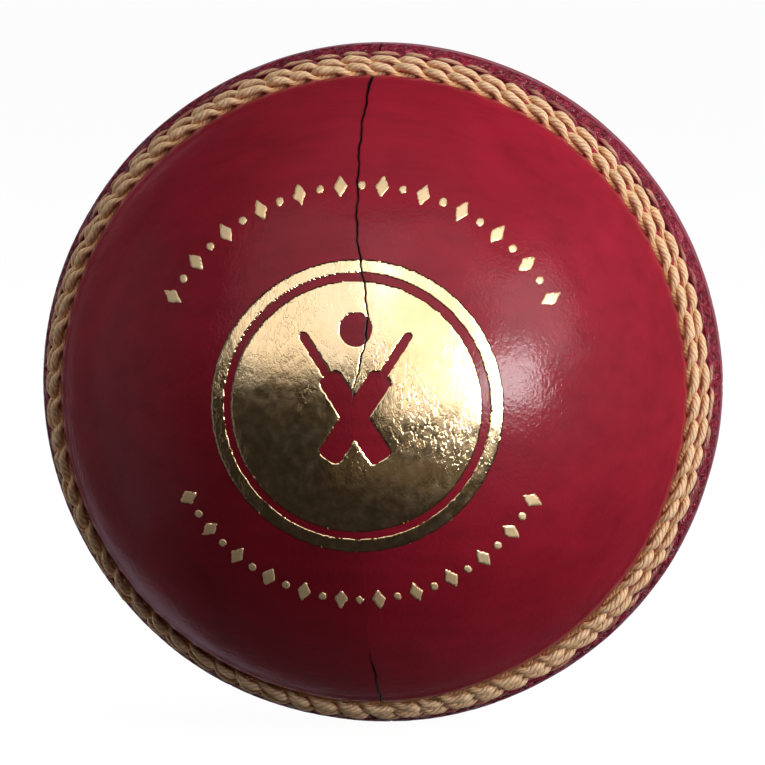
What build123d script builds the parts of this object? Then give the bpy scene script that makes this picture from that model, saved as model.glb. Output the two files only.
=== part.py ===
from build123d import *

import os
from math import atan2, cos, radians, sin, sqrt

# A four-piece, hand-stitched cricket ball in the red leather of the long game.
#
# The ball is built outwards from a small composition nucleus. Round the nucleus lie five cork layers, each
# a pair of hemispherical cups, and each layer is bound by a winding of worsted yarn. Together they are the
# quilt. Four leather quarters cover the quilt. Each pair of quarters is sewn from the inside into a cup,
# and the front cup's quarter seam is turned 90 degrees from the back cup's. The two cups meet at the main
# seam, a raised welt of leather with six rows of linen stitching along it, three on each cup. A thin gold
# foil crest is stamped on the front cup.
#
# Units are millimetres and degrees. The origin is the ball's centre. +Z is up, the main seam lies in the
# XZ plane, and the axis through the centres of both cups is Y, with the crest facing -Y.

# Cover: the leather swells from the dome into a band that carries the stitching, and stands up in a
# rounded welt where the cups meet. Latitudes are measured from that joint, in degrees.
DOME_RADIUS = 35.5
BAND_RADIUS = 35.6
WELT_RADIUS = 36.4
WELT_LATITUDE = 6.2
BAND_LATITUDE = 23.0
LEATHER_THICKNESS = 3.6
BUTT_EDGE_CHAMFER = 0.12

# Main seam: one entry for each row on a cup, from the joint outwards.
# name: (latitude, half the row's width, half its thickness, how far its crest stands above the leather)
SEAM_ROWS = {
    "closing": (6.9, 0.80, 0.62, 0.55),
    "middle": (10.6, 0.88, 0.80, 0.90),
    "outer": (17.0, 0.88, 0.80, 0.90),
}
BED_CLEARANCE = 0.02  # between a row and the bed that it is pulled down into

# Quarter seams: a thread sunk in the inner face of the leather, under each butt joint.
QUARTER_THREAD_RADIUS = 0.55
QUARTER_THREAD_END_GAP = 3.0  # degrees left clear beside the main seam

# Quilt: a nucleus, then a cork layer and a yarn winding, five times over.
NUCLEUS_RADIUS = 9.5
LAYER_COUNT = 5
WINDING_THICKNESS = 1.4

# Crest: foil shapes on the front dome, measured across the ball's axis.
FOIL_THICKNESS = 0.05
FOIL_GLUE_THICKNESS = 0.01
RING_OUTER_RADIUS = 15.4
RING_INNER_RADIUS = 14.0
DISC_RADIUS = 13.2
BAT_TILT = 33.0
BAT_BLADE = (2.5, 10.6)
BAT_HANDLE = (0.9, 5.4)
BAT_CROSSING_HEIGHT = -1.0  # where the bats cross, above the crest's middle
CREST_BALL_RADIUS = 1.7
CREST_BALL_HEIGHT = 8.2
UPPER_ARC_RADIUS = 22.8
LOWER_ARC_RADIUS = 20.7
ARC_HALF_ANGLE = 61.0
LOZENGE_COUNT = 12
LOZENGE = (1.5, 2.3)
BEAD_RADIUS = 0.42

QUILT_RADIUS = DOME_RADIUS - LEATHER_THICKNESS


def on_circle(radius, latitude):
    """A point in the section plane: x is the distance from the ball's axis, y the height along it."""
    return radius * cos(radians(latitude)), radius * sin(radians(latitude))


def crown_centre(top, end):
    """Where on the joint's plane an arc has its centre that starts square to it, top out, and meets end."""
    return (top**2 - end[0] ** 2 - end[1] ** 2) / (2 * (top - end[0]))


def crown_middle(top, end):
    """The point halfway along such an arc."""
    centre = crown_centre(top, end)
    turn = atan2(end[1], end[0] - centre) / 2
    return centre + (top - centre) * cos(turn), (top - centre) * sin(turn)


DOME_EDGE = on_circle(DOME_RADIUS, BAND_LATITUDE)
BAND_CENTRE = crown_centre(BAND_RADIUS, DOME_EDGE)


def leather_radius(latitude):
    """Distance from the ball's centre to the band's outer face."""
    across = BAND_CENTRE * sin(radians(latitude))
    return BAND_CENTRE * cos(radians(latitude)) + sqrt((BAND_RADIUS - BAND_CENTRE) ** 2 - across**2)


def leather_blank():
    """One quarter of the cover with no stitch beds: the half below z=0 of the cup on the +Y side."""
    welt_edge = on_circle(leather_radius(WELT_LATITUDE), WELT_LATITUDE)
    band_middle = on_circle(leather_radius(BAND_LATITUDE / 2), BAND_LATITUDE / 2)
    dome_middle = on_circle(DOME_RADIUS, (BAND_LATITUDE + 90) / 2)
    outline = (
        Line((QUILT_RADIUS, 0), (WELT_RADIUS, 0))
        + ThreePointArc((WELT_RADIUS, 0), crown_middle(WELT_RADIUS, welt_edge), welt_edge)
        + ThreePointArc(welt_edge, band_middle, DOME_EDGE)
        + ThreePointArc(DOME_EDGE, dome_middle, (0, DOME_RADIUS))
        + Line((0, DOME_RADIUS), (0, QUILT_RADIUS))
        + ThreePointArc((0, QUILT_RADIUS), on_circle(QUILT_RADIUS, 45), (QUILT_RADIUS, 0))
    )
    return revolve(make_face(outline), Axis.Y, 180)


def seam_row(name, clearance=0):
    """One row of stitching as a plain ring of oval section on the +Y side, or with clearance, its bed."""
    latitude, half_width, half_thickness, stands_proud = SEAM_ROWS[name]
    centre = on_circle(leather_radius(latitude) + stands_proud - half_thickness, latitude)
    oval = Ellipse(half_width + clearance, half_thickness + clearance)
    return revolve(Pos(*centre) * Rot(0, 0, latitude + 90) * oval, Axis.Y, 360)


def quarter_thread():
    """The hidden thread under a quarter seam, in the plane z=0 on the +Y side."""
    path_radius = QUILT_RADIUS + QUARTER_THREAD_RADIUS
    path = CenterArc((0, 0, 0), path_radius, QUARTER_THREAD_END_GAP, 180 - 2 * QUARTER_THREAD_END_GAP)
    section = Plane(origin=path @ 0, z_dir=path % 0) * Circle(QUARTER_THREAD_RADIUS)
    return sweep(section, path)


def leather_quarter(thread):
    """A finished quarter, with its butt edge eased and its beds cut for the stitching and the thread."""
    beds = [seam_row(name, BED_CLEARANCE) for name in SEAM_ROWS]
    blank = leather_blank()
    at_split = blank.edges().filter_by_position(Axis.Z, -1e-4, 1e-4).filter_by(GeomType.CIRCLE)
    butt_edge = [edge for edge in at_split if (edge @ 0.5).length > QUILT_RADIUS + 1]
    return chamfer(butt_edge, BUTT_EDGE_CHAMFER) - beds - thread


def quilt():
    """The nucleus, and for each layer two cork cups and the hollow ball of yarn wound round them."""
    parts = {"core_nucleus": Sphere(NUCLEUS_RADIUS)}
    layer_thickness = (QUILT_RADIUS - NUCLEUS_RADIUS) / LAYER_COUNT
    for layer in range(1, LAYER_COUNT + 1):
        inner = NUCLEUS_RADIUS + (layer - 1) * layer_thickness
        bound = inner + layer_thickness - WINDING_THICKNESS
        outer = inner + layer_thickness
        cork = Sphere(bound) - Sphere(inner)
        # Each layer's split is turned a quarter turn from the one below, so that no two joints line up.
        turn = Rot(90 * (layer % 2), 0, 0)
        half_space = Box(*[3 * bound] * 3)
        for letter, side in (("a", 1), ("b", -1)):
            cup_side = turn * Pos(0, 0, side * 1.5 * bound) * half_space
            parts[f"cork_cup_{layer}{letter}"] = cork & cup_side
        parts[f"yarn_winding_{layer}"] = Sphere(outer) - Sphere(bound)
    return parts


def bat_shape():
    """A bat's outline: a rounded blade with its handle, the toe pointing down."""
    blade = RectangleRounded(*BAT_BLADE, 0.7)
    handle = Pos(0, (BAT_BLADE[1] + BAT_HANDLE[1]) / 2 - 0.3) * RectangleRounded(*BAT_HANDLE, 0.4)
    return blade + handle


def foil_crest():
    """The crest: a ring round a disc with two crossed bats and a ball left bare, and two beaded arcs."""
    shapes = Circle(RING_OUTER_RADIUS) - Circle(RING_INNER_RADIUS) + Circle(DISC_RADIUS)
    for side in (-1, 1):
        shapes -= Pos(0, BAT_CROSSING_HEIGHT) * Rot(0, 0, side * BAT_TILT) * bat_shape()
    shapes -= Pos(0, CREST_BALL_HEIGHT) * Circle(CREST_BALL_RADIUS)
    step = 2 * ARC_HALF_ANGLE / (LOZENGE_COUNT - 1)
    tip_x, tip_y = LOZENGE[0] / 2, LOZENGE[1] / 2
    diamond = Polygon((tip_x, 0), (0, tip_y), (-tip_x, 0), (0, -tip_y), align=None)
    for arc_turn, radius in ((0, UPPER_ARC_RADIUS), (180, LOWER_ARC_RADIUS)):
        for index in range(LOZENGE_COUNT):
            angle = arc_turn - ARC_HALF_ANGLE + index * step
            shapes += Rot(0, 0, angle) * Pos(0, radius) * diamond
            if index < LOZENGE_COUNT - 1:
                shapes += Rot(0, 0, angle + step / 2) * Pos(0, radius) * Circle(BEAD_RADIUS)
    underside = DOME_RADIUS + FOIL_GLUE_THICKNESS
    skin = Sphere(underside + FOIL_THICKNESS) - Sphere(underside)
    return skin & extrude(Plane.XZ * shapes, amount=2 * DOME_RADIUS, dir=(0, -1, 0))


def cover():
    """The four quarters, the quarter threads and the six rows of stitching."""
    thread = quarter_thread()
    below = leather_quarter(thread)
    above = Rot(0, 180, 0) * below
    # The back cup's quarter seam lies level. The front cup's is turned upright.
    to_front = Rot(0, 90, 0) * Rot(180, 0, 0)
    parts = {
        "leather_quarter_back_bottom": below,
        "leather_quarter_back_top": above,
        "leather_quarter_front_right": to_front * below,
        "leather_quarter_front_left": to_front * above,
        "quarter_seam_thread_back": thread,
        "quarter_seam_thread_front": to_front * thread,
    }
    for name in SEAM_ROWS:
        parts[f"stitch_row_back_{name}"] = seam_row(name)
        parts[f"stitch_row_front_{name}"] = to_front * seam_row(name)
    return parts


def main():
    os.makedirs("parts", exist_ok=True)
    parts = quilt() | cover() | {"foil_crest": foil_crest()}
    for name, shape in parts.items():
        export_step(shape, f"parts/{name}.step")
        print(f"{name}: {len(shape.solids())} solid(s), {sum(s.volume for s in shape.solids()):.1f} mm3")
    print(f"{len(parts)} parts")
    print(f"{2 * DOME_RADIUS:.2f} mm over the domes, {2 * WELT_RADIUS:.2f} mm over the welt")


main()
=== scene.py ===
# %% [markdown]
# # A hand-stitched cricket ball
#
# This lesson dresses the working model of a cricket ball for a portrait. The model gives the sizes: four
# leather quarters round a quilt of cork and yarn, six rows of stitching, and a gold crest. Here the
# leather, the stitching and the crest are made again as fine surfaces, each worked out with numpy, and
# every part gets a finish of its own.
#
# The first cell loads the working model. Its box is kept, and the floor is laid at its lowest point.

# %% Load the working model
import math

import bpy
import numpy as np
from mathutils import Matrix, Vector


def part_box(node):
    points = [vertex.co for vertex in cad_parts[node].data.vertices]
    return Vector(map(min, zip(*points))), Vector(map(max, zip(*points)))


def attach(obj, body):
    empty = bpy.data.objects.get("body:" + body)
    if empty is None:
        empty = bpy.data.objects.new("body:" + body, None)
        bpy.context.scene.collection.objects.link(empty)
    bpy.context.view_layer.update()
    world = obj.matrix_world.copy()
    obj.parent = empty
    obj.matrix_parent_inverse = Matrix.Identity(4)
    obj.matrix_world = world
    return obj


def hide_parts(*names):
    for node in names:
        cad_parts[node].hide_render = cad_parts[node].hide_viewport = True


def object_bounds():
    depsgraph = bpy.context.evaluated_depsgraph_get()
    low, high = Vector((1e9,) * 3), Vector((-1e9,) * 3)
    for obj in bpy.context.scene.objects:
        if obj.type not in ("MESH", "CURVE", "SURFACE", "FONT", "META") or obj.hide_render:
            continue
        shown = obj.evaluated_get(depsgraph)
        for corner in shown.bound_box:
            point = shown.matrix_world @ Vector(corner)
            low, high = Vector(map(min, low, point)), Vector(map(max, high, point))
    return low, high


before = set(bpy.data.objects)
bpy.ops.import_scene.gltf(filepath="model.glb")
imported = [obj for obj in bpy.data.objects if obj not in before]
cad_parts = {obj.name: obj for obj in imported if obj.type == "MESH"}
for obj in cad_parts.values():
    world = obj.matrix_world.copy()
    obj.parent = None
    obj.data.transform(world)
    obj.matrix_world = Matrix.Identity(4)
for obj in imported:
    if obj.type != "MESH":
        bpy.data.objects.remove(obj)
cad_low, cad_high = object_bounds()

print("nodes in the working model:", len(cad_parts))

# %% [markdown]
# ## The ball's own measures
#
# Blender works in metres, but a ball maker thinks in millimetres, so shapes are worked out in millimetres
# and scaled once, when a mesh is made. The dome, the welt where the two cups meet, the quilt under the
# leather and the latitude of each row of stitching are read from the working model. Latitude is counted
# from the joint between the cups (0 degrees) to the middle of a cup (90 degrees). The front cup faces -Y.

# %% Measure the working model
MM = 0.001

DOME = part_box("leather_quarter_back_top")[1].y / MM
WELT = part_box("leather_quarter_back_top")[1].x / MM
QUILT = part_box("yarn_winding_5")[1].x / MM
BAND = DOME + 0.1       # the leather's radius where it carries the stitching
STITCHES = {"closing": 67, "middle": 75, "outer": 75}

# How far each row lies from its marked line, how far it sways, and the azimuth where it sways furthest.
ROW_WANDER = {"closing": (0, 0.2, 1.0), "middle": (1.5, 0.6, 3.8), "outer": (0.5, 0.95, 4.7)}


def row_latitude(row):
    """Latitude of a row: the arcsine of its height along the axis over the band's radius, in degrees."""
    low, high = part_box(f"stitch_row_back_{row}")
    return math.degrees(math.asin((low.y + high.y) / 2 / MM / BAND))


ROWS = {row: row_latitude(row) for row in STITCHES}
CUP_SEEDS = {"front": 0, "back": 50}
SEEDS = {(cup, row): 100 * n + start for n, row in enumerate(ROWS, 1) for cup, start in CUP_SEEDS.items()}


def wandering(row, azimuth):
    """A row's latitude round the ball: line + shift + sway x cos(azimuth - start). Rows are sewn by eye."""
    shift, sway, start = ROW_WANDER[row]
    return ROWS[row] + shift + sway * np.cos(azimuth - start)


print(f"dome {DOME:.2f} mm, welt {WELT:.2f} mm, quilt {QUILT:.2f} mm, rows at", ROWS)

# %% [markdown]
# ## The camera
#
# The camera stands well back and has a long lens, so that the ball's outline stays round and its stitching
# isn't stretched. It looks at the crest from a little to the right of it and a little above it.
# Its place is given by two angles and a distance, which are easier to judge than three coordinates.

# %% Set up the camera
CAMERA_AZIMUTH = math.radians(4.7)
CAMERA_ELEVATION = math.radians(4.4)
CAMERA_DISTANCE = 1.456
LENS = 641

to_camera = Vector((
    math.sin(CAMERA_AZIMUTH) * math.cos(CAMERA_ELEVATION),
    -math.cos(CAMERA_AZIMUTH) * math.cos(CAMERA_ELEVATION),
    math.sin(CAMERA_ELEVATION),
))
to_right = Vector((math.cos(CAMERA_AZIMUTH), math.sin(CAMERA_AZIMUTH), 0))
to_top = to_camera.cross(to_right)

camera = bpy.data.objects.new("camera", bpy.data.cameras.new("camera"))
camera.data.lens = LENS
camera.data.sensor_width = 36
camera.data.clip_end = 20
camera.location = to_camera * CAMERA_DISTANCE
camera.rotation_euler = to_camera.to_track_quat("Z", "Y").to_euler()
bpy.context.scene.collection.objects.link(camera)
bpy.context.scene.camera = camera
bpy.context.scene.view_settings.view_transform = "Standard"
print("camera at", [round(c, 3) for c in camera.location])

# %% [markdown]
# ## Soft light
#
# Glossy leather shows what is round it, so the lights are large white panels, as in a studio tent. A panel
# is placed by the direction in which the ball sees it: degrees to the right of the camera and degrees above
# it. Its brightness is given as the light that leaves each patch of it, which is also how bright its
# reflection in a mirror would be. Blender wants a power instead, which is brightness times area times pi.
#
# Two big panels above make the pale upper half of the foil, and a low warm one glints in its lower half. A
# small bright window to the right makes the highlight beside the crest, with a softer glow above it. Panels
# above, beside and under the ball light only its dye and shape its dark side. Two dim bluish ones, at the
# left and behind, touch its rim.

# %% Hang the light panels
def panel_direction(right, above):
    """The direction that lies the given degrees to the camera's right and above its line to the ball."""
    turn, lift = math.radians(right), math.radians(above)
    level = to_right * math.sin(turn) + to_camera * math.cos(turn)
    return level * math.cos(lift) + to_top * math.sin(lift)


def hang_panel(name, right, above, distance, width, height, brightness, colour=(1, 1, 1), only=None):
    """A rectangular light that faces the ball. Its power is brightness x width x height x pi.

    A panel for "shine" only is seen in gloss and gold but doesn't light the dye, and one for "body" only
    lights the dye but leaves no reflection, like a panel behind a polarising sheet.
    """
    light = bpy.data.lights.new(name, "AREA")
    light.shape = "RECTANGLE"
    light.size, light.size_y = width, height
    light.energy = brightness * width * height * math.pi
    light.color = colour
    panel = bpy.data.objects.new(name, light)
    away = panel_direction(right, above)
    panel.location = away * distance
    panel.rotation_euler = away.to_track_quat("Z", "Y").to_euler()
    panel.visible_camera = False
    panel.visible_diffuse = only != "shine"
    panel.visible_glossy = only != "body"
    bpy.context.scene.collection.objects.link(panel)
    return panel


hang_panel("top_left_panel", -27, 32, 0.60, 0.60, 0.60, 1.10, only="shine")
hang_panel("top_right_panel", 20, 24, 0.60, 0.46, 0.80, 1.35, only="shine")
hang_panel("low_reflector", 10, -29, 0.60, 0.45, 0.08, 0.10, (1.0, 0.78, 0.50), only="shine")
hang_panel("soft_top_panel", 12, 50, 0.60, 0.60, 0.60, 1.05, only="body")
hang_panel("overhead_panel", -40, 84, 0.60, 0.70, 0.60, 0.85, only="body")
hang_panel("window_core", 44, 1, 0.70, 0.25, 0.20, 36.0, only="shine")
hang_panel("window_body", 45, 0, 0.70, 0.30, 0.30, 6.0, only="body")
hang_panel("window_glow", 56, 21, 0.72, 0.34, 0.38, 4.7)
hang_panel("right_panel", 100, 15, 0.60, 0.80, 0.90, 1.15, only="body")
hang_panel("under_panel", 180, -55, 0.60, 0.80, 0.50, 0.55, only="body")
hang_panel("left_panel", -115, 0, 0.70, 0.80, 0.90, 1.0, only="body")
hang_panel("left_glimmer", -95, 0, 0.72, 0.60, 0.90, 0.16, (0.80, 0.87, 1.0), only="shine")
hang_panel("rear_panel", 180, 0, 0.60, 0.95, 0.95, 0.40, (0.78, 0.84, 1.0))

# %% [markdown]
# The surroundings are nearly dark, so the lower half of the ball falls into shade. Only the camera sees
# them as white: a Light Path node tells a ray that comes straight from the camera from one that is bounced.

# %% Set the surroundings
def join(tree, node, inputs):
    """Sets a node's inputs, each to a plain value or to another node's output socket."""
    for name, value in inputs.items():
        if isinstance(value, bpy.types.NodeSocket):
            tree.links.new(value, node.inputs[name])
        else:
            node.inputs[name].default_value = value


def new_node(tree, kind, inputs=None, **settings):
    """Adds a shader node with its settings and its inputs."""
    made = tree.nodes.new("ShaderNode" + kind)
    for name, value in settings.items():
        setattr(made, name, value)
    join(tree, made, inputs or {})
    return made


world = bpy.data.worlds.new("surroundings")
world.use_nodes = True
tree = world.node_tree
tree.nodes.clear()
ray = new_node(tree, "LightPath")
dark = new_node(tree, "Background", {"Color": (1, 0.86, 0.70, 1), "Strength": 0.018})
white = new_node(tree, "Background", {"Color": (1, 1, 1, 1), "Strength": 1.0})
either = new_node(tree, "MixShader", {
    0: ray.outputs["Is Camera Ray"], 1: dark.outputs[0], 2: white.outputs[0]})
new_node(tree, "OutputWorld", {"Surface": either.outputs[0]})
bpy.context.scene.world = world

# %% [markdown]
# ## The floor
#
# The ball stands on a plain white sheet. Most of the sheet's whiteness is its own glow, so that the ball's
# shadow stays faint, and the sheet throws no light back on the ball. It is one large square just under the
# welt, and it is clear when seen from below.

# %% Lay the floor
FLOOR_HALF_WIDTH = 12.0
FLOOR_GLOW = 0.97

floor_corners = np.array([(-1, -1), (1, -1), (1, 1), (-1, 1)]) * FLOOR_HALF_WIDTH
floor_points = np.column_stack([floor_corners, np.full(4, cad_low.z)])
floor_mesh = bpy.data.meshes.new("floor")
floor_mesh.from_pydata(floor_points.tolist(), [], [(0, 1, 2, 3)])
floor = bpy.data.objects.new("floor", floor_mesh)
bpy.context.scene.collection.objects.link(floor)

paper = bpy.data.materials.new("white_sheet")
paper.use_nodes = True
tree = paper.node_tree
tree.nodes.clear()
glow = new_node(tree, "Emission", {"Color": (1, 1, 1, 1), "Strength": FLOOR_GLOW})
matt = new_node(tree, "BsdfDiffuse", {"Color": (0.10, 0.10, 0.10, 1)})
sheet = new_node(tree, "AddShader", {0: glow.outputs[0], 1: matt.outputs[0]})
clear = new_node(tree, "BsdfTransparent")
side = new_node(tree, "NewGeometry")
seen = new_node(tree, "MixShader", {
    0: side.outputs["Backfacing"], 1: sheet.outputs[0], 2: clear.outputs[0]})
new_node(tree, "OutputMaterial", {"Surface": seen.outputs[0]})
floor_mesh.materials.append(paper)
floor.visible_diffuse = False
floor.visible_glossy = False
floor.visible_shadow = False

# %% [markdown]
# ## Helpers for making surfaces
#
# Hand work is never quite even. Unevenness here is a sum of long waves that run in random directions
# through the ball: it is smooth, it has no seam or pole, and a fixed seed gives the same ball every time. A
# new mesh takes its points as an array in millimetres and its faces as lists of point numbers.

# %% Make the helpers
def eased(low, high, value):
    """0 up to low, 1 from high on, and a smooth S between: 3t^2 - 2t^3."""
    share = np.clip((value - low) / (high - low), 0, 1)
    return share * share * (3 - 2 * share)


def bell(value, middle, width):
    """A smooth hump that is 1 at its middle: exp(-((value - middle) / width)^2)."""
    return np.exp(-(((value - middle) / width) ** 2))


def uneven(points, longest, shortest, seed, waves=28):
    """A sum of sine waves in random directions, from -1 to 1 or so, with wavelengths in millimetres."""
    rng = np.random.default_rng(seed)
    directions = rng.normal(size=(3, waves))
    directions /= np.linalg.norm(directions, axis=0)
    lengths = np.exp(rng.uniform(np.log(shortest), np.log(longest), waves))
    starts = rng.uniform(0, 2 * np.pi, waves)
    return np.sin(points @ (directions * 2 * np.pi / lengths) + starts).sum(axis=-1) / np.sqrt(waves)


def new_piece(name, points, faces, attributes=None):
    """A mesh object at the origin, from points in millimetres. Attributes are one number for each point."""
    mesh = bpy.data.meshes.new(name)
    mesh.from_pydata((points * MM).tolist(), [], faces)
    for label, values in (attributes or {}).items():
        layer = mesh.attributes.new(label, "FLOAT", "POINT")
        layer.data.foreach_set("value", np.ascontiguousarray(values, np.float32).ravel())
    mesh.polygons.foreach_set("use_smooth", np.ones(len(mesh.polygons), bool))
    piece = bpy.data.objects.new(name, mesh)
    bpy.context.scene.collection.objects.link(piece)
    return piece


def grid_quads(rows, columns, first=0, close_rows=False, close_columns=False):
    """The quads of a grid of points numbered along its rows, as an array of four numbers a face."""
    down = np.arange(rows if close_rows else rows - 1)
    along = np.arange(columns if close_columns else columns - 1)
    i, j = np.meshgrid(down, along, indexing="ij")
    i_next, j_next = (i + 1) % rows, (j + 1) % columns
    corners = (i * columns + j, i * columns + j_next, i_next * columns + j_next, i_next * columns + j)
    return first + np.stack(corners, axis=-1).reshape(-1, 4)


# %% [markdown]
# ## Where each stitch lies
#
# Each stitch comes up through the leather, crosses its row on a slant and goes down again where its
# neighbour comes up. So a finished row looks like a rope of two strands that turn round each other, half a
# turn to a stitch. The strand's phase says how far it has turned, and both the thread and the leather are
# shaped by it: where the strands lie one above the other the leather is pulled down, and between stitches
# it rises.
#
# Everything that varies along a row must meet itself after a turn, so it is a sum of sines with whole
# numbers of waves.

# %% Work out the phase
UNEVEN_STITCHES = 0.30
STACKING = 0.34
STACKING_LEAD = 0.5


def round_waves(turn, seed, slowest, fastest, count=14):
    """Unevenness along a row that meets itself: sines with a whole number of waves to the turn."""
    rng = np.random.default_rng(seed)
    waves = rng.integers(slowest, fastest, count)
    starts = rng.uniform(0, 2 * np.pi, count)
    return np.sin(turn[..., None] * waves + starts).sum(axis=-1) / np.sqrt(count)


def strand_phase(row, cup, turn):
    """Half the number of stitches x azimuth, with a slow unevenness because stitches differ in length.

    A part of sin(2 x phase) keeps the two strands one above the other for longer than side by side.
    """
    phase = STITCHES[row] / 2 * turn + UNEVEN_STITCHES * round_waves(turn, SEEDS[cup, row], 8, 36)
    return phase + STACKING * np.sin(2 * phase + STACKING_LEAD)


# %% [markdown]
# ## The leather's outline
#
# Seen in section, the leather is a dome that swells a little into the band under the stitching and stands
# up in a welt where the two cups meet. Each row of thread is pulled down into the leather, so it lies in a
# bed that is shallower between its stitches, and the leather rolls up a little beside the outer row. Beside
# the welt the closing stitches drag the leather into puckers. All of this is one formula: the radius at a
# latitude and an azimuth.

# %% Shape the leather
BAND_END = 24.0         # degrees of latitude where the band has run out into the dome
BED_DEPTH = {"closing": 0.40, "middle": 0.55, "outer": 0.62}
BED_WIDTH = {"closing": 1.2, "middle": 1.6, "outer": 1.8}
ROLL_HEIGHT = 0.06
PULL_AT_STITCH, PULL_BETWEEN = 1.08, 0.46
PUCKER_DEPTH = 0.38
PUCKER_LATITUDE, PUCKER_WIDTH = 4.9, 1.9
JOINT_GROOVE = 0.10


def leather_radius(cup, latitude, azimuth):
    """Dome + welt - beds + roll - puckers - joint groove, in millimetres from the ball's centre."""
    radius = DOME + (BAND - DOME) * (1 - eased(12, BAND_END, latitude))
    radius = radius + (WELT - BAND) * (1 - eased(2.1, 6.6, latitude))
    for row in ROWS:
        beside = np.cos(strand_phase(row, cup, azimuth)) ** 2
        pull = PULL_AT_STITCH + (PULL_BETWEEN - PULL_AT_STITCH) * beside
        radius = radius - BED_DEPTH[row] * pull * bell(latitude, wandering(row, azimuth), BED_WIDTH[row])
    radius = radius + ROLL_HEIGHT * bell(latitude, wandering("outer", azimuth) + 4.0, 1.3)
    bend = 1.6 * np.sin(22 * azimuth + 2.0 * latitude)
    folds = np.sin(33.5 * azimuth + 1.2 * latitude + bend)
    folds = folds + 0.5 * np.sin(157 * azimuth - 3.4 * latitude + bend)
    crease = np.clip(1 - 1.5 * np.abs(folds), 0, 1)
    radius = radius - PUCKER_DEPTH * crease * bell(latitude, PUCKER_LATITUDE, PUCKER_WIDTH)
    return radius - JOINT_GROOVE * bell(latitude, 0, 0.4)


def unevenness(points):
    """How far the leather falls short of its outline, in millimetres: never more than the outline allows."""
    broad = uneven(points, 34, 15, seed=3)
    small = uneven(points, 7, 3, seed=4)
    return 0.05 * np.clip(broad - 1.2, -2.4, 0) + 0.009 * np.clip(small - 1.2, -2.4, 0)


# %% [markdown]
# ## Four quarters of leather
#
# A quarter is cut from a hide, wetted and pressed into a mould, and its edge is butted against its
# neighbour's. The butt joint never runs quite straight, and on a used or dry ball it opens in places as a
# hairline crack.
#
# A quarter could be a sphere cut by planes, but the crack needs an edge that wanders. So each quarter is a
# grid of its own: latitude by azimuth, with the columns crowded towards the two edges. The whole edge is
# then pushed sideways by a wandering line, and the push fades away from the edge. Both quarters of a cup
# use the same line, so they still meet. The inner face and the cut edges close each quarter into a solid.

# %% Lay out a quarter
COLUMNS = 372
LATITUDES = np.concatenate([
    np.linspace(0, 1.2, 7)[:-1],
    np.linspace(1.2, BAND_END, 98)[:-1],
    np.linspace(BAND_END, 90, 96)[:-1],
])
INNER_STEP = 6          # one inner row of points for so many outer rows
LATITUDES = LATITUDES[: len(LATITUDES) // INNER_STEP * INNER_STEP]
EDGE_OFFSETS = np.array([0, 0.0013, 0.003, 0.0055, 0.009])


def quarter_azimuths():
    """Angles across a quarter, 0 to pi, evenly spaced apart from a few close columns at each edge."""
    even = np.linspace(0.013, np.pi - 0.013, COLUMNS - 2 * len(EDGE_OFFSETS))
    return np.concatenate([EDGE_OFFSETS, even, np.pi - EDGE_OFFSETS[::-1]])


class Cup:
    """One half of the cover: which way it faces, and the line that its quarter seam follows.

    A bend is a place along the seam and how far the seam strays there, both in millimetres. The opening is
    how far the crack opens at the two ends of the seam, from 0 to 1.
    """

    def __init__(self, name, out, across, along, bends, opening):
        self.name = name
        self.out, self.across, self.along = (np.array(v, float) for v in (out, across, along))
        self.bends = bends
        self.opening = opening

    def wander(self, along):
        """How far the seam strays sideways: eased steps between a few bends, plus fine waves, in mm."""
        places, strays = np.array(self.bends, float).T
        segment = np.clip(np.searchsorted(places, along) - 1, 0, len(places) - 2)
        start, end = places[segment], places[segment + 1]
        share = eased(0, 1, (along - start) / (end - start))
        straight = strays[segment] * (1 - share) + strays[segment + 1] * share
        return straight + 0.07 * np.sin(along * 2.1) + 0.035 * np.sin(along * 5.3 + 1)

    def opened(self, along):
        """How far the crack has opened, 0 to 1: fully towards the stitching, not at all under the middle."""
        upper, lower = self.opening
        return upper * eased(-1, 6, along) + lower * eased(26, 29, -along)

    def gap(self, along):
        """Half the crack's width in mm, a little ragged."""
        ragged = 1 + 0.35 * np.sin(along * 1.7) + 0.2 * np.sin(along * 4.9 + 2)
        at_stitching = 2.5 * eased(31.0, 33.0, along)
        return 0.005 + 0.030 * (ragged + at_stitching) * self.opened(along)

    def azimuth(self, points):
        """Angle round the ball's axis, counted the same way round as each cup is seen from outside."""
        x = points[..., 0] * -self.out[1]
        return np.arctan2(points[..., 2], x)

    def place(self, across, along, out):
        """Turns the cup's own three measures into points of the ball."""
        parts = zip((across, along, out), (self.across, self.along, self.out))
        return sum(np.asarray(measure)[..., None] * axis for measure, axis in parts)


FRONT = Cup("front", (0, -1, 0), (1, 0, 0), (0, 0, 1),
            [(-37, 1.0), (-31, 0.9), (-24, 0.3), (-10, 0.1), (-1, -0.45),
             (9, 1.2), (20, -0.3), (27, -0.5), (37, 0)],
            opening=(1.0, 1.0))
BACK = Cup("back", (0, 1, 0), (0, 0, 1), (1, 0, 0),
           [(-37, 0.3), (-22, -0.5), (-6, 0.4), (8, -0.2), (21, 0.6), (37, 0)],
           opening=(0.6, 0.3))
print("quarter grid:", len(LATITUDES), "rows by", COLUMNS, "columns")

# %% [markdown]
# The outer face starts on a sphere. It is pushed sideways near its edges and then set at the leather's
# radius. The inner face has fewer rows of points, because nobody sees it. The walls at the cut edges join
# the two, so that each quarter is a closed solid.

# %% Work out one quarter's surface
EDGE_ROUNDING = 0.10    # mm over which a butt edge is rounded off
EDGE_DROP = 0.06
LIP_WIDTH = 0.55
LIP_DROP = 0.015


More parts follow.
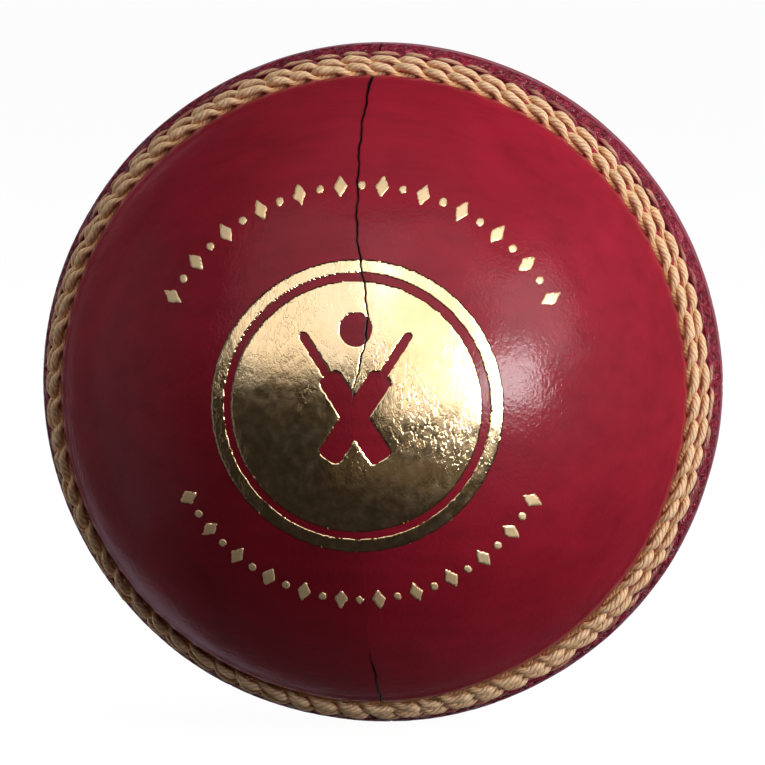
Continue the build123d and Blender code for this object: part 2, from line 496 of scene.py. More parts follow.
def outer_skin(cup, side, latitude, turn):
    """The leather's outer face at a latitude and a turn from one edge of the quarter to the other.

    Start on a sphere, push the points near the edge sideways by the seam's wander and half its gap, then set
    each point at the leather's radius less the unevenness, the rounding of the edge and the lip beside it.
    """
    level = np.cos(np.radians(latitude))
    across = side * DOME * level * np.sin(turn)
    along = DOME * level * np.cos(turn)
    out = DOME * np.sin(np.radians(latitude))
    from_edge = np.abs(across)
    stray = cup.wander(along) * bell(across, 0, 6.0) + side * cup.gap(along) * bell(across, 0, 1.0)
    points = cup.place(across + stray, along, out)
    direction = points / np.linalg.norm(points, axis=-1, keepdims=True)
    radius = leather_radius(cup.name, latitude, cup.azimuth(direction)) + unevenness(direction * DOME)
    rounding = EDGE_DROP * (0.2 + 0.8 * cup.opened(along))
    radius = radius - rounding * np.clip(1 - from_edge / EDGE_ROUNDING, 0, 1) ** 2
    radius = radius - LIP_DROP * cup.opened(along) * bell(from_edge, 0, LIP_WIDTH)
    return direction * radius[..., None], from_edge


def inner_skin(cup, side, latitude, turn):
    """The leather's inner face: a plain sphere of the quilt's radius, cut by the quarter's plane."""
    level = np.cos(np.radians(latitude))
    measures = (side * level * np.sin(turn), level * np.cos(turn), np.sin(np.radians(latitude)))
    return QUILT * cup.place(*measures)


def quarter_faces(rows, columns):
    """Every face of a quarter: both skins, the fans at the pole, the joint face and the two cut edges."""
    inner_rows = rows // INNER_STEP
    inner = rows * columns
    pole, inner_pole = inner + inner_rows * columns, inner + inner_rows * columns + 1
    j = np.arange(columns - 1)
    last, inner_last = (rows - 1) * columns + j, inner + (inner_rows - 1) * columns + j
    faces = grid_quads(rows, columns).tolist()
    faces += grid_quads(inner_rows, columns, inner)[:, ::-1].tolist()
    faces += np.stack([last, last + 1, np.full_like(j, pole)], axis=1).tolist()
    faces += np.stack([inner_last + 1, inner_last, np.full_like(j, inner_pole)], axis=1).tolist()
    faces += np.stack([j + 1, j, inner + j, inner + j + 1], axis=1).tolist()
    outer_edge = np.append(np.arange(rows) * columns, pole)
    inner_edge = np.append(inner + np.arange(inner_rows) * columns, inner_pole)
    for shift, order in ((0, 1), (columns - 1, -1)):
        outer_line = outer_edge + shift * (outer_edge != pole)
        inner_line = inner_edge + shift * (inner_edge != inner_pole)
        runs = outer_line[:-1].reshape(-1, INNER_STEP)
        ends = outer_line[INNER_STEP::INNER_STEP, None]
        walls = np.hstack([runs, ends, inner_line[1:, None], inner_line[:-1, None]])
        faces += walls[:, ::order].tolist()
    return faces


def signed_volume(points, faces):
    """Six times the volume inside the faces, which is negative if they point inwards."""
    total = 0.0
    for size in (3, 4, INNER_STEP + 3):
        ring = np.array([face for face in faces if len(face) == size], int).reshape(-1, size)
        for k in range(1, size - 1):
            a, b, c = points[ring[:, 0]], points[ring[:, k]], points[ring[:, k + 1]]
            total += np.einsum("ij,ij->", a, np.cross(b, c))
    return total


def cut_quarter(name, cup, side, tone):
    """A closed quarter of leather on one side of a cup's quarter seam."""
    turn, latitude = np.meshgrid(quarter_azimuths(), LATITUDES)
    skin, from_edge = outer_skin(cup, side, latitude, turn)
    lining = inner_skin(cup, side, latitude[::INNER_STEP], turn[::INNER_STEP])
    pole, _ = outer_skin(cup, side, np.array([90.0]), np.array([0.0]))
    inner_pole = inner_skin(cup, side, np.array([90.0]), np.array([0.0]))
    points = np.concatenate([skin.reshape(-1, 3), lining.reshape(-1, 3), pole, inner_pole])
    faces = quarter_faces(len(LATITUDES), COLUMNS)
    if signed_volume(points, faces) < 0:
        faces = [face[::-1] for face in faces]
    hidden = len(points) - skin.shape[0] * skin.shape[1]
    # Painted shade in the crack: near black along the butt edge, strongest where the crack is open.
    cracked = 0.12 + 0.88 * cup.opened(DOME * np.cos(np.radians(latitude)) * np.cos(turn))
    painted_crack_shade = np.concatenate([(bell(from_edge, 0, 0.12) * cracked).ravel(), np.zeros(hidden)])
    height = np.concatenate([latitude.ravel(), np.full(hidden, 45.0)])
    piece = new_piece(name, points, faces,
                      {"painted_crack_shade": painted_crack_shade, "latitude": height, "tone": np.full(len(points), tone)})
    piece.data.set_sharp_from_angle(angle=math.radians(50))
    return piece


# %% [markdown]
# The quarters differ a little in tone, as pieces of hide do. Each one takes the place of the working
# model's plain quarter.

# %% Cut the four quarters
leather_pieces = {
    "leather_quarter_front_left": cut_quarter("leather_front_left", FRONT, -1, 0.90),
    "leather_quarter_front_right": cut_quarter("leather_front_right", FRONT, 1, 1.0),
    "leather_quarter_back_top": cut_quarter("leather_back_top", BACK, 1, 0.97),
    "leather_quarter_back_bottom": cut_quarter("leather_back_bottom", BACK, -1, 0.92),
}
for node_name, piece in leather_pieces.items():
    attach(piece, "root")
    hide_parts(node_name)
    print(piece.name, len(piece.data.polygons), "faces")

# %% [markdown]
# ## The rows of stitching
#
# The seam is sewn with waxed linen. Seventy-five stitches could be seventy-five copies of one small model,
# but then every one would be the same. Here a row is one long strand: a tube along a helix that goes twice
# round the ball. A helix that makes half a turn for each stitch comes back on the second lap as the second
# strand, because 75 is odd, and so is 67, the number of longer stitches in the row beside the joint.
#
# The tube's section is an oval, thinner where the two strands squeeze past each other. Five plies show as
# faint ridges that wind along it, and its thickness and place drift a little from stitch to stitch. The
# strand is half sunk in the leather, so it also notes how deep each point lies, for the colour to use.

# %% Work out a row
STRAND_HALF_WIDTH = 0.46
STRAND_HALF_HEIGHT = 0.44
ROPE_SPREAD = 0.38      # how far the strand swings to each side of the row's line
ROPE_RISE = 0.40        # how far it swings above and below
ROW_TOP = {"closing": BAND + 0.40, "middle": BAND + 0.60, "outer": BAND + 0.74}
ROPE_SIZE = {"closing": 0.78, "middle": 1.0, "outer": 1.10}
SQUEEZE = 0.28          # how much thinner the strand is where it passes its neighbour
LUMPINESS = 0.09
PLIES = 5
PLY_RIDGE = 0.03
TWISTS_PER_STITCH = 4.4     # ply ridges that pass along the strand in one stitch
STRAND_CORNERS = 20         # points round the tube
RINGS_PER_STITCH = {"closing": 12, "middle": 16, "outer": 16}


def strand_line(cup, row, turn):
    """The middle of the strand: latitude swings as cos(phase) and radius as sin(phase)."""
    phase, seed, size = strand_phase(row, cup, turn), SEEDS[cup, row], ROPE_SIZE[row]
    loose = size * (1.02 + 0.10 * round_waves(turn, seed + 1, 20, 80))
    middle = ROW_TOP[row] - size * (ROPE_RISE + STRAND_HALF_HEIGHT)
    middle = middle - 0.05 * np.abs(round_waves(turn, seed + 2, 5, 40))
    radius = middle + ROPE_RISE * loose * np.sin(phase)
    aside = ROPE_SPREAD * loose * np.cos(phase) + 0.10 * round_waves(turn, seed + 3, 3, 16)
    angle = np.radians(wandering(row, turn)) + aside / middle
    level = radius * np.cos(angle)
    return np.stack([level * np.cos(turn), radius * np.sin(angle), level * np.sin(turn)], axis=1)


def sew_row(cup, row):
    """A row on the +Y side: an oval section carried along the strand's line, thicker and thinner in places.

    Its half width is STRAND_HALF_WIDTH x size x (1 - squeeze x cos(phase)^2) x lumps x ply ridges, and its
    half height likewise. Depth below the row's top, from 0 to 1, comes back with the points.
    """
    stitches, size = STITCHES[row], ROPE_SIZE[row]
    rings = 2 * stitches * RINGS_PER_STITCH[row]
    turn = np.arange(rings) / rings * 4 * np.pi
    line = strand_line(cup, row, turn)
    forward = np.roll(line, -1, axis=0) - np.roll(line, 1, axis=0)
    forward /= np.linalg.norm(forward, axis=1, keepdims=True)
    sideways = np.cross(forward, line)
    sideways /= np.linalg.norm(sideways, axis=1, keepdims=True)
    upwards = np.cross(sideways, forward)
    part = np.arange(STRAND_CORNERS) / STRAND_CORNERS
    corner = part * 2 * np.pi
    twist = np.arange(rings) / rings * round(TWISTS_PER_STITCH * 2 * stitches)
    ridges = np.cos(2 * np.pi * (PLIES * part[None, :] + twist[:, None]))
    squeezed = 1 - SQUEEZE * np.cos(strand_phase(row, cup, turn)) ** 2
    lumpy = 1 + LUMPINESS * round_waves(turn, SEEDS[cup, row] + 5, 30, 110)
    thick = size * (squeezed * lumpy)[:, None] * (1 + PLY_RIDGE * ridges)
    width = (STRAND_HALF_WIDTH * thick * np.cos(corner))[..., None] * sideways[:, None, :]
    height = (STRAND_HALF_HEIGHT * thick * np.sin(corner))[..., None] * upwards[:, None, :]
    points = line[:, None, :] + width + height
    sunk = np.clip((ROW_TOP[row] - np.linalg.norm(points, axis=-1)) / (1.5 * size), 0, 1)
    return points.reshape(-1, 3), sunk.ravel(), rings


def strand_uv(mesh, rings, stitches):
    """A UV map: u counts stitches along the strand and v counts plies past, so v is whole on each groove."""
    i, j = np.meshgrid(np.arange(rings), np.arange(STRAND_CORNERS), indexing="ij")
    along = np.stack([i, i, i + 1, i + 1], axis=-1) / rings * 2 * stitches
    round_it = np.stack([j, j + 1, j + 1, j], axis=-1) / STRAND_CORNERS * PLIES
    ply = round_it + along * round(TWISTS_PER_STITCH * 2 * stitches) / (2 * stitches)
    layer = mesh.uv_layers.new(name="strand")
    layer.data.foreach_set("uv", np.stack([along, ply], axis=-1).astype(np.float32).ravel())


# %% [markdown]
# A row is worked out on the +Y side and mirrored onto its own cup, so that thread and leather count azimuth
# the same way. Mirroring can turn its faces inside out, so their direction is checked.

# %% Sew the six rows
row_pieces = {}
for cup_name, facing in (("front", -1), ("back", 1)):
    for row in ROWS:
        points, sunk, rings = sew_row(cup_name, row)
        points = points * (-facing, facing, 1)
        quads = grid_quads(rings, STRAND_CORNERS, close_rows=True, close_columns=True)
        piece = new_piece(f"stitches_{cup_name}_{row}", points, quads.tolist(), {"sunk": sunk})
        strand_uv(piece.data, rings, STITCHES[row])
        if signed_volume(points, quads) < 0:
            piece.data.flip_normals()
        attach(piece, "root")
        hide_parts(f"stitch_row_{cup_name}_{row}")
        row_pieces[piece.name] = piece
        highest = np.linalg.norm(points, axis=1).max()
        print(f"{piece.name}: {len(quads)} faces, highest at {highest:.2f} mm")

# %% [markdown]
# ## The gold crest
#
# The crest is foil, stamped on with a hot brass die. It is far thinner than the leather and follows every
# unevenness under it, and it splits where the quarter seam splits. The drawing is a plain one: a ring, a
# disc with two crossed bats and a ball left bare, and two arcs of lozenges and beads.
#
# The drawing could be a picture on the leather, but the foil is a piece with an edge of its own. So each
# shape is written as a distance: negative inside the shape, positive outside. Shapes are joined with the
# smaller of two distances and cut with the larger.

# %% Draw the crest
RING_OUTER, RING_INNER, DISC = 15.4, 14.0, 13.2
BAT_TILT = math.radians(33)
BLADE_HALF = (1.25, 5.3)
HANDLE_HALF = (0.45, 2.7)
BATS_CROSS = -1.0
BARE_BALL = (8.2, 1.7)            # height and radius
UPPER_ARC, LOWER_ARC = 22.8, 20.7
ARC_HALF_ANGLE = math.radians(61)
LOZENGES = 12
LOZENGE_HALF = (0.75, 1.15)
BEAD = 0.42


def round_box(x, z, half, corner):
    """Distance to a rectangle with rounded corners: the distance to a smaller rectangle, less the radius."""
    dx, dz = np.abs(x) - half[0] + corner, np.abs(z) - half[1] + corner
    outside = np.hypot(np.maximum(dx, 0), np.maximum(dz, 0))
    return outside + np.minimum(np.maximum(dx, dz), 0) - corner


def bat(x, z, tilt):
    """Distance to a bat whose blade points down, tilted about the point where the bats cross."""
    z = z - BATS_CROSS
    along = -x * math.sin(tilt) + z * math.cos(tilt)
    beside = x * math.cos(tilt) + z * math.sin(tilt)
    handle_middle = BLADE_HALF[1] + HANDLE_HALF[1] - 0.3
    blade = round_box(beside, along, BLADE_HALF, 0.7)
    handle = round_box(beside, along - handle_middle, HANDLE_HALF, 0.4)
    return np.minimum(blade, handle)


def beaded_arc(x, z, radius):
    """Distance to an arc of lozenges with a bead between each two, centred on the upward direction."""
    step = 2 * ARC_HALF_ANGLE / (LOZENGES - 1)
    angle = np.arctan2(x, z)
    out = np.hypot(x, z)
    bead_angle = np.clip(np.round(angle / step), -(LOZENGES // 2 - 1), LOZENGES // 2 - 1) * step
    lozenge_angle = (np.clip(np.floor(angle / step), -LOZENGES // 2, LOZENGES // 2 - 1) + 0.5) * step
    bead = np.hypot(out * np.sin(angle - bead_angle), out * np.cos(angle - bead_angle) - radius) - BEAD
    width, height = LOZENGE_HALF
    beside = np.abs(out * np.sin(angle - lozenge_angle))
    above = np.abs(out * np.cos(angle - lozenge_angle) - radius)
    lozenge = (beside * height + above * width - width * height) / math.hypot(width, height)
    return np.minimum(bead, lozenge)


def crest(x, z):
    """Distance to the whole crest: ring, or disc less bats and ball, or either arc."""
    out = np.hypot(x, z)
    ring = np.maximum(out - RING_OUTER, RING_INNER - out)
    bare = np.minimum(bat(x, z, BAT_TILT), bat(x, z, -BAT_TILT))
    bare = np.minimum(bare, np.hypot(x, z - BARE_BALL[0]) - BARE_BALL[1])
    disc = np.maximum(out - DISC, -bare)
    arcs = np.minimum(beaded_arc(x, z, UPPER_ARC), beaded_arc(x, -z, LOWER_ARC))
    return np.minimum(np.minimum(ring, disc), arcs)


# %% [markdown]
# A fine grid is laid over the dome on each side of the crack. Its points close to an outline are moved onto
# it, and only the triangles inside are kept. Points that the two sides share, where the crack is closed, are
# welded into one. A Solidify modifier gives the foil its gauge, and a Weighted Normal modifier keeps its face
# from being shaded as if its thin edge were round.

# %% Stamp the crest on the dome
FOIL_CELL = 0.17
FOIL_REACH = 24.5       # the grid's half height, and its width on each side of the crack
FOIL_LIFT = 0.034
FOIL_GAUGE = 0.02
FOIL_CRACK = 0.03      # the foil tears back a little further than the leather opens


def foil_half(side):
    """The foil on one side of the crack: kept triangles of a grid that starts at the crack."""
    steps = np.arange(0, FOIL_REACH, FOIL_CELL)
    heights = np.arange(-FOIL_REACH, FOIL_REACH, FOIL_CELL)
    offset, z = np.meshgrid(steps, heights)
    tear = (FRONT.gap(z) + FOIL_CRACK) * eased(-2, 0.5, z)
    x = FRONT.wander(z) + side * (tear + offset)
    distance = crest(x, z) + 0.03 * uneven(np.stack([x, z, 0 * x], axis=-1), 1.6, 0.5, seed=8)
    slope_z, slope_x = np.gradient(distance, FOIL_CELL)
    length = np.maximum(np.hypot(slope_x, slope_z), 0.5)
    near = (np.abs(distance) < 0.62 * FOIL_CELL) & (offset > 0)
    shift = np.where(near, distance / length, 0)
    x = x - side * shift * slope_x / length
    z = z - shift * slope_z / length
    inside = near | (distance < 0)
    quads = grid_quads(*x.shape)
    split = np.concatenate([quads[:, [0, 1, 2]], quads[:, [0, 2, 3]]])
    kept = inside.ravel()[split].all(axis=1) & (distance.ravel()[split].mean(axis=1) < -0.02)
    return x.ravel(), z.ravel(), split[kept][:, ::side]


def on_dome(x, z):
    """The point of the front dome's leather behind a point of the drawing, lifted by the foil's height."""
    flat = np.stack([x, -np.sqrt(DOME**2 - x**2 - z**2), z], axis=-1)
    direction = flat / DOME
    from_edge = np.abs(x - FRONT.wander(z))
    radius = DOME + unevenness(flat) - LIP_DROP * FRONT.opened(z) * bell(from_edge, 0, LIP_WIDTH)
    return direction * (radius + FOIL_LIFT)[..., None]


foil_points, foil_faces, first = [], [], 0
for side in (-1, 1):
    x, z, triangles = foil_half(side)
    used, numbered = np.unique(triangles, return_inverse=True)
    foil_points.append(on_dome(x[used], z[used]))
    foil_faces.append(first + numbered.reshape(-1, 3))
    first += len(used)
foil_points, welded = np.unique(np.round(np.concatenate(foil_points), 4), axis=0, return_inverse=True)
foil_faces = welded.ravel()[np.concatenate(foil_faces)]
in_arcs = (np.hypot(foil_points[:, 0], foil_points[:, 2]) > RING_OUTER + 2).astype(float)
foil = new_piece("foil_crest_stamped", foil_points, foil_faces.tolist(), {"in_arcs": in_arcs})
gauge = foil.modifiers.new("gauge", "SOLIDIFY")
gauge.thickness = FOIL_GAUGE * MM
gauge.offset = -1
flat = foil.modifiers.new("flat_face", "WEIGHTED_NORMAL")
flat.weight = 100
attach(foil, "root")
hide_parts("foil_crest")
print("foil:", len(foil.data.polygons), "triangles")

# %% [markdown]
# ## Helpers for finishes
#
# A finish is a network of nodes. Most of it is sums, noises and blends, so each of those gets one short
# helper that makes a node, joins it up and hands back its output. Noise is counted in features to a
# millimetre, which is easy to compare with the real thing.

# %% Make the finish helpers
def start_material(name):
    """A new material: its tree, its shader, and where a point is in the ball's own frame."""
    material = bpy.data.materials.new(name)
    material.use_nodes = True
    tree = material.node_tree
    tree.nodes.clear()
    shader = new_node(tree, "BsdfPrincipled")
    new_node(tree, "OutputMaterial", {"Surface": shader.outputs[0]})
    return material, tree, shader, new_node(tree, "TexCoord").outputs["Object"]


def blend_colours(tree, share, first, second, how="MIX"):
    """One colour laid over another by a share."""
    inputs = {0: share, 6: first, 7: second}
    return new_node(tree, "Mix", inputs, data_type="RGBA", blend_type=how).outputs[2]


def spread(tree, value, low, high, to_low=0.0, to_high=1.0):
    """Stretches the part of a value between low and high over a new range."""
    made = new_node(tree, "MapRange", {
        "Value": value, "From Min": low, "From Max": high, "To Min": to_low, "To Max": to_high})
    return made.outputs["Result"]


def noise(tree, place, per_mm, detail=3.0, roughness=0.5, distortion=0.0):
    """Cloudy noise with so many features to a millimetre."""
    made = new_node(tree, "TexNoise", {
        "Vector": place, "Scale": per_mm / MM, "Detail": detail,
        "Roughness": roughness, "Distortion": distortion})
    return made.outputs["Fac"]


def combine(tree, operation, first, second=0.0):
    """Arithmetic on two values, or on the first alone."""
    made = new_node(tree, "Math", {0: first, 1: second}, operation=operation)
    return made.outputs[0]


def times(tree, first, second):
    """One value times another."""
    return combine(tree, "MULTIPLY", first, second)


def stored(tree, label):
    """The number that the mesh holds for each point under a label."""
    return new_node(tree, "Attribute", attribute_name=label).outputs["Fac"]


def bumped(tree, depth, height):
    """The shaded direction of a surface that rises by depth, in millimetres, where a value goes up by 1."""
    made = new_node(tree, "Bump", {"Strength": 1.0, "Distance": depth * MM, "Height": height})
    return made.outputs[0]


# %% [markdown]
# ## Dyed and polished leather
#
# The leather is dyed right through, brushed with a darker red, polished and lacquered. Up close it has a
# fine pebbled grain under the gloss. The colour is a deep red with soft clouds of darker dye and brush
# streaks. A near black is painted along the cracked butt edges as painted shade in the crack, darkest where
# the crack is open. Beside the welt the leather is puckered: it is wrinkled and shinier than the rest under
# its lacquer, and its folds carry painted shade in them and painted light on them.
#
# The grain is bump, because it is finer than any mesh should be. The lacquer is the shader's coat, which
# keeps its own roughness above the leather's.

# %% Mix the leather's finish
leather, tree, shader, place = start_material("dyed_leather")
stretched = new_node(tree, "Mapping", {"Vector": place, "Scale": (0.16, 1.0, 1.0)}).outputs[0]
clouds = spread(tree, noise(tree, place, 0.09, 4, 0.6), 0.35, 0.7)
streaks = spread(tree, noise(tree, stretched, 0.55, 5, 0.62), 0.42, 0.72)
flecks = spread(tree, noise(tree, place, 1.3, 3, 0.7), 0.62, 0.78)
bright_red = (0.345, 0.0095, 0.027, 1)
deep_red = (0.265, 0.007, 0.020, 1)
dark_dye = (0.10, 0.0025, 0.007, 1)
colour = blend_colours(tree, clouds, bright_red, deep_red)
colour = blend_colours(tree, times(tree, streaks, 0.28), colour, dark_dye)
colour = blend_colours(tree, times(tree, flecks, 0.22), colour, dark_dye)
# Painted shade inside the cracked butt joints: near black along the quarters' edges.
colour = blend_colours(tree, stored(tree, "painted_crack_shade"), colour, (0.014, 0.002, 0.003, 1))
latitude = stored(tree, "latitude")
in_valley = times(tree, spread(tree, latitude, 13.5, 10.0), spread(tree, latitude, 2.2, 3.2))
wrinkles = noise(tree, place, 0.80, 3, 0.60, 2.2)
# Painted shade in the folds and painted light on their tops, from the noise that also bumps them.
painted_fold_shade, painted_fold_light = (0.12, 0.003, 0.011, 1), (0.38, 0.012, 0.045, 1)
fold_shade_and_light = blend_colours(tree, spread(tree, wrinkles, 0.40, 0.60), painted_fold_shade, painted_fold_light)
colour = blend_colours(tree, in_valley, colour, fold_shade_and_light)
colour = blend_colours(tree, 1.0, colour, stored(tree, "tone"), "MULTIPLY")
pebbles = new_node(tree, "TexVoronoi", {"Vector": place, "Scale": 3.4 / MM}, feature="F1")
fine = noise(tree, place, 2.6, 4, 0.6)
creases = noise(tree, place, 0.5, 3, 0.55, 0.6)
grain = combine(tree, "ADD", times(tree, pebbles.outputs["Distance"], 0.5), fine)
grain = combine(tree, "ADD", grain, times(tree, creases, 1.2))
peel = noise(tree, place, 1.5, 2, 0.5, 0.8)
grain = combine(tree, "ADD", grain, times(tree, peel, 2.6))
folding = times(tree, in_valley, 60.0)
grain = combine(tree, "ADD", grain, times(tree, wrinkles, folding))
surface = bumped(tree, 0.012, grain)
join(tree, shader, {
    "Base Color": colour,
    "Normal": surface,
    "Roughness": spread(tree, in_valley, 0.0, 1.0, 0.55, 0.36),
    "Specular IOR Level": spread(tree, in_valley, 0.0, 1.0, 0.07, 0.30),
    "Coat Weight": 0.85,
    "Coat IOR": 1.26,
    "Coat Normal": surface,
    "Coat Roughness": spread(tree, noise(tree, place, 0.25, 4, 0.6), 0.3, 0.7, 0.12, 0.21),
})
for piece in leather_pieces.values():
    piece.data.materials.append(leather)

# %% [markdown]
# ## Waxed linen thread
#
# The thread is laid up from five plies. Their ridges are bump, drawn with the strand's own UV map: its
# second number goes up by one from groove to groove, so its fractional part says how far across a ply a
# point is. The thread is straw coloured where it stands proud. In the grooves and down in the hollows it
# goes to ochre and then brown: that is painted shade, with the red light that the leather throws on it
# painted in. Its outer face is a little grey with handling.
#
# The rows next to the joint are sewn first. They are covered when the finished seam is painted with red dye
# and polish, so they take the same dark red, and only a few threads stay bare.

# %% Mix the thread's finish
def mix_linen(name, high, middle, low, dyed):
    """Waxed five-ply linen: colours for ridges, body and painted shade in hollows, and a share of red dye."""
    material, tree, shader, place = start_material(name)
    strand = new_node(tree, "SeparateXYZ", {
        "Vector": new_node(tree, "UVMap", uv_map="strand").outputs[0]})
    wobble = noise(tree, place, 1.3, 2, 0.5)
    across = combine(tree, "FRACT", combine(tree, "ADD", strand.outputs["Y"], wobble))
    from_top = combine(tree, "ABSOLUTE", combine(tree, "SUBTRACT", across, 0.5))
    groove = combine(tree, "POWER", times(tree, from_top, 2.0), 2.6)
    fibre_place = new_node(tree, "CombineXYZ", {
        "X": times(tree, strand.outputs["Y"], 5.0),
        "Y": times(tree, strand.outputs["X"], 3.0)})
    fibres = new_node(tree, "TexNoise", {
        "Vector": fibre_place.outputs[0], "Scale": 1.0, "Detail": 3.0, "Roughness": 0.6}).outputs["Fac"]
    sunk = stored(tree, "sunk")
    colour = blend_colours(tree, spread(tree, fibres, 0.35, 0.68), middle, high)
    # Painted shade and painted red bounce light: ochre in the ply grooves and where the strand sinks in.
    colour = blend_colours(tree, times(tree, groove, 0.68), colour, low)
    colour = blend_colours(tree, spread(tree, sunk, 0.25, 0.85, 0.0, 0.85), colour, low)
    grime = spread(tree, noise(tree, place, 0.9, 4, 0.7), 0.50, 0.72, 0.0, 0.45)
    on_top = times(tree, grime, spread(tree, sunk, 0.45, 0.05))
    colour = blend_colours(tree, on_top, colour, (0.26, 0.17, 0.12, 1))
    patches = noise(tree, place, 0.16, 2, 0.5)
    scuffed = spread(tree, patches, 0.40, 0.54, 0.0, 0.7)
    bare = times(tree, scuffed, spread(tree, sunk, 0.34, 0.14))
    painted = times(tree, combine(tree, "SUBTRACT", 1.0, bare), dyed)
    colour = blend_colours(tree, painted, colour, (0.24, 0.008, 0.026, 1))
    join(tree, shader, {
        "Base Color": colour,
        "Normal": bumped(tree, 0.065, combine(tree, "SUBTRACT", fibres, groove)),
        "Roughness": 0.55 - 0.28 * dyed,
        "Specular IOR Level": 0.4,
    })
    return material


pale, straw, painted_shade_ochre = (1.0, 0.75, 0.48, 1), (0.93, 0.58, 0.30, 1), (0.62, 0.24, 0.045, 1)
linen = mix_linen("waxed_linen", pale, straw, painted_shade_ochre, 0.0)
dyed_linen = mix_linen("dyed_linen", pale, straw, painted_shade_ochre, 1.0)
for name, piece in row_pieces.items():
    piece.data.materials.append(dyed_linen if "closing" in name else linen)

# %% [markdown]
# ## Gold foil
#
# Foil is a mirror as thin as smoke. It shows the panels and the dark between them, broken up by the grain
# of the leather. Fine creases, a few worn flecks and a warmer tint in places keep it from looking like
# solid metal. The two arcs are small marks, stamped with more pressure, so their foil is more broken up and
# looks matter than the disc.

# %% Mix the foil's finish
gold, tree, shader, place = start_material("stamped_gold")
tarnish = spread(tree, noise(tree, place, 0.16, 4, 0.6), 0.35, 0.7)
colour = blend_colours(tree, tarnish, (1.0, 0.75, 0.46, 1), (0.97, 0.67, 0.35, 1))
wrinkled = new_node(tree, "Mapping", {
    "Vector": place, "Rotation": (0, math.radians(20), 0), "Scale": (1.6, 1.0, 0.75)}).outputs[0]
wave = noise(tree, wrinkled, 0.42, 3, 0.5, 0.6)
lines = noise(tree, wrinkled, 1.1, 3, 0.5, 0.25)
crease = combine(tree, "ABSOLUTE", combine(tree, "SUBTRACT", lines, 0.5))
crease = spread(tree, crease, 0.0, 0.045, 1.0, 0.0)
speckle = noise(tree, place, 3.6, 3, 0.65)
crinkled = spread(tree, noise(tree, place, 0.13, 3, 0.5), 0.44, 0.60, 0.10, 0.85)
creased = times(tree, crease, crinkled)
height = combine(tree, "SUBTRACT", times(tree, wave, 3.2), creased)
height = combine(tree, "ADD", height, times(tree, speckle, 0.55))
in_arcs = stored(tree, "in_arcs")
rough = spread(tree, noise(tree, place, 0.9, 4, 0.6), 0.3, 0.75, 0.14, 0.28)
rough = combine(tree, "ADD", rough, times(tree, in_arcs, 0.25))
join(tree, shader, {
    "Base Color": colour,
    "Normal": bumped(tree, 0.016, height),
    "Roughness": rough,
    "Metallic": spread(tree, in_arcs, 0.0, 1.0, 1.0, 0.45),
})
foil.data.materials.append(gold)

# %% [markdown]
# ## Inside the ball
#
# Nobody sees the quilt in a whole ball, but the parts are there and may be taken apart. The working model's
# own shapes are right for them, so only their finishes are made: bark-like cork with dark pores, worsted
# yarn wound in every direction, crumbs of cork bonded in rubber for the nucleus, and plain thread under the
# quarter seams.

# %% Finish the parts inside
def finish_nodes(material, names):
    """Gives carried-over parts of the working model a material in every slot."""
    for name in names:
        mesh = bpy.data.objects[name].data
        if not mesh.materials:
            mesh.materials.append(material)
        for slot in range(len(mesh.materials)):
            mesh.materials[slot] = material


cork, tree, shader, place = start_material("cork")
cells = {"Vector": place, "Scale": 0.55 / MM}
from_cell = new_node(tree, "TexVoronoi", cells, feature="F1").outputs["Distance"]
pores = spread(tree, noise(tree, place, 0.5, 5, 0.7), 0.60, 0.66)
colour = blend_colours(tree, noise(tree, place, 0.3, 4, 0.6), (0.36, 0.19, 0.085, 1), (0.56, 0.35, 0.18, 1))
colour = blend_colours(tree, times(tree, from_cell, 0.35), colour, (0.62, 0.42, 0.24, 1))
colour = blend_colours(tree, pores, colour, (0.10, 0.045, 0.02, 1))
height = combine(tree, "SUBTRACT", from_cell, pores)
join(tree, shader, {"Base Color": colour, "Normal": bumped(tree, 0.25, height), "Roughness": 0.85})
finish_nodes(cork, [f"cork_cup_{layer}{half}" for layer in range(1, 6) for half in "ab"])

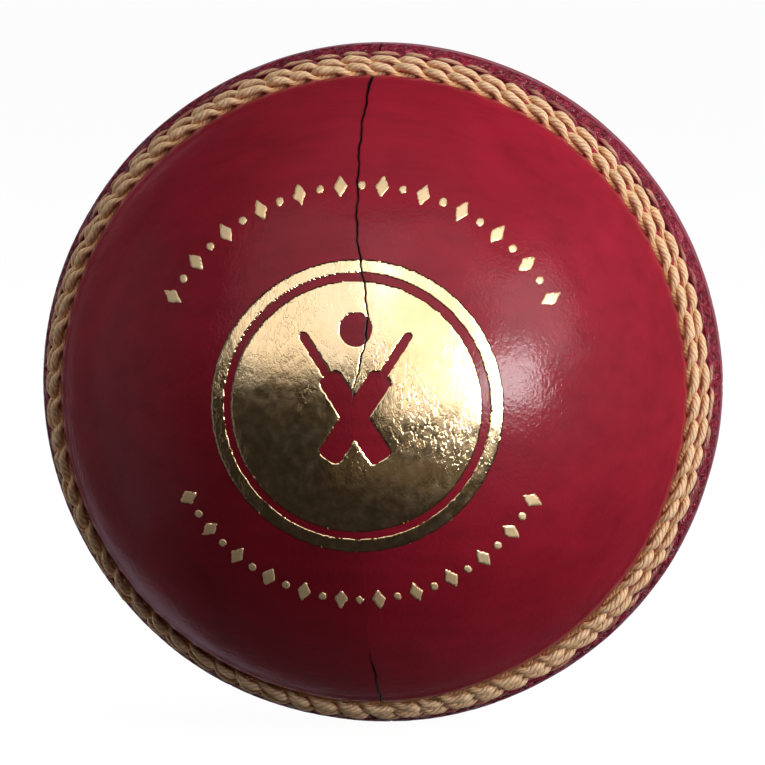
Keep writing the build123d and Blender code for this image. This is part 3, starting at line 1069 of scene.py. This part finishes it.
yarn, tree, shader, place = start_material("worsted_yarn")
strands = None
for lean in ((0.2, 0.3, 0.1), (1.3, 0.2, 0.9), (0.4, 1.2, 2.0)):
    turned = new_node(tree, "Mapping", {"Vector": place, "Rotation": lean}).outputs[0]
    laps = new_node(tree, "TexWave", {
        "Vector": turned, "Scale": 0.30 / MM, "Distortion": 1.5, "Detail": 2.0, "Detail Scale": 0.4})
    lap = laps.outputs["Fac"]
    strands = lap if strands is None else combine(tree, "MAXIMUM", strands, lap)
hairs = noise(tree, place, 3.0, 3, 0.7)
colour = blend_colours(tree, strands, (0.20, 0.13, 0.075, 1), (0.66, 0.52, 0.36, 1))
colour = blend_colours(tree, spread(tree, hairs, 0.5, 0.8, 0.0, 0.5), colour, (0.80, 0.70, 0.55, 1))
height = combine(tree, "ADD", strands, times(tree, hairs, 0.25))
join(tree, shader, {
    "Base Color": colour, "Normal": bumped(tree, 0.45, height), "Roughness": 0.9, "Sheen Weight": 0.3})
finish_nodes(yarn, [f"yarn_winding_{layer}" for layer in range(1, 6)])

core, tree, shader, place = start_material("bonded_cork_crumb")
crumbs = {"Vector": place, "Scale": 0.8 / MM}
tint = new_node(tree, "TexVoronoi", crumbs, feature="F1").outputs["Color"]
bond = new_node(tree, "TexVoronoi", crumbs, feature="DISTANCE_TO_EDGE").outputs["Distance"]
colour = blend_colours(tree, tint, (0.22, 0.11, 0.05, 1), (0.42, 0.25, 0.12, 1))
colour = blend_colours(tree, spread(tree, bond, 0.02, 0.10), (0.05, 0.03, 0.025, 1), colour)
join(tree, shader, {"Base Color": colour, "Normal": bumped(tree, 0.2, bond), "Roughness": 0.75})
finish_nodes(core, ["core_nucleus"])

thread, tree, shader, place = start_material("plain_thread")
leaning = new_node(tree, "Mapping", {"Vector": place, "Rotation": (0.6, 0.6, 0.6)}).outputs[0]
lay = new_node(tree, "TexWave", {
    "Vector": leaning, "Scale": 0.9 / MM, "Distortion": 0.8, "Detail": 3.0}).outputs["Fac"]
colour = blend_colours(tree, lay, (0.42, 0.24, 0.09, 1), (0.84, 0.63, 0.38, 1))
join(tree, shader, {"Base Color": colour, "Normal": bumped(tree, 0.1, lay), "Roughness": 0.65})
finish_nodes(thread, ["quarter_seam_thread_front", "quarter_seam_thread_back"])
print("finishes:", [material.name for material in bpy.data.materials])
